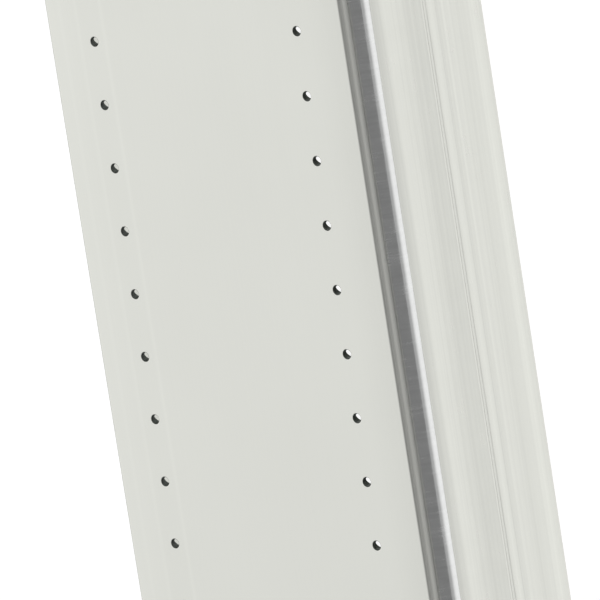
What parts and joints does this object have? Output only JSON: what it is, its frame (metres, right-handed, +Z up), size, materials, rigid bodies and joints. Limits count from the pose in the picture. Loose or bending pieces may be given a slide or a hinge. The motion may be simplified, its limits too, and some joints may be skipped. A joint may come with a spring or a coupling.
{
  "type": "scaffold plank",
  "caption": "Aluminium scaffold deck on two deep side rails with round beads, with hooks and gravity wind locks for ledger tubes.",
  "frame": {"origin": "under the middle of the plank, on the plane that the rail feet stand on", "axes": "+X along the plank, +Y across it towards the rear rail, +Z up, out of the deck"},
  "size_m": [2.144, 0.304, 0.165],
  "materials": {
    "mill_aluminium": "extruded, matte, with fine lines along the length and a polished bead",
    "pressed_aluminium": "rolled sheet, satin",
    "rivet_aluminium": "satin",
    "zinc_steel": "zinc plated"
  },
  "bodies": {
    "plank": {"deck_panel": "mill_aluminium", "front_rail": "mill_aluminium", "rear_rail": "mill_aluminium", "cross_member_1": "pressed_aluminium", "cross_member_2": "pressed_aluminium", "cross_member_3": "pressed_aluminium", "cross_member_4": "pressed_aluminium", "end_plate_left": "pressed_aluminium", "end_plate_right": "pressed_aluminium", "rivet_01": "rivet_aluminium", "rivet_02": "rivet_aluminium", "rivet_03": "rivet_aluminium", "rivet_04": "rivet_aluminium", "rivet_05": "rivet_aluminium", "rivet_06": "rivet_aluminium", "rivet_07": "rivet_aluminium", "rivet_08": "rivet_aluminium", "rivet_09": "rivet_aluminium", "rivet_10": "rivet_aluminium", "rivet_11": "rivet_aluminium", "rivet_12": "rivet_aluminium", "rivet_13": "rivet_aluminium", "rivet_14": "rivet_aluminium", "rivet_15": "rivet_aluminium", "rivet_16": "rivet_aluminium", "hook_left_front": "zinc_steel", "hook_left_rear": "zinc_steel", "hook_right_front": "zinc_steel", "hook_right_rear": "zinc_steel", "end_plate_left_screw_1": "zinc_steel", "end_plate_left_screw_2": "zinc_steel", "end_plate_right_screw_1": "zinc_steel", "end_plate_right_screw_2": "zinc_steel", "hook_bolt_1": "zinc_steel", "hook_bolt_2": "zinc_steel", "hook_bolt_3": "zinc_steel", "hook_bolt_4": "zinc_steel", "hook_bolt_5": "zinc_steel", "hook_bolt_6": "zinc_steel", "hook_bolt_7": "zinc_steel", "hook_bolt_8": "zinc_steel", "hook_nut_1": "zinc_steel", "hook_nut_2": "zinc_steel", "hook_nut_3": "zinc_steel", "hook_nut_4": "zinc_steel", "hook_nut_5": "zinc_steel", "hook_nut_6": "zinc_steel", "hook_nut_7": "zinc_steel", "hook_nut_8": "zinc_steel", "lock_bolt_left": "zinc_steel", "lock_bolt_right": "zinc_steel", "lock_nut_left": "zinc_steel", "lock_nut_right": "zinc_steel", "lock_stop_left": "zinc_steel", "lock_stop_right": "zinc_steel"},
    "wind_lock_left": {"wind_lock_left": "zinc_steel"},
    "wind_lock_right": {"wind_lock_right": "zinc_steel"}
  },
  "joints": [
    {"name": "wind_lock_left_pivot", "type": "hinge", "parent": "plank", "child": "wind_lock_left", "pos_m": [-0.998, -0.1319, 0.084], "axis": [0, 1, 0], "range_deg": [0, 80]},
    {"name": "wind_lock_right_pivot", "type": "hinge", "parent": "plank", "child": "wind_lock_right", "pos_m": [0.998, 0.1319, 0.084], "axis": [0, -1, 0], "range_deg": [0, 80]}
  ]
}
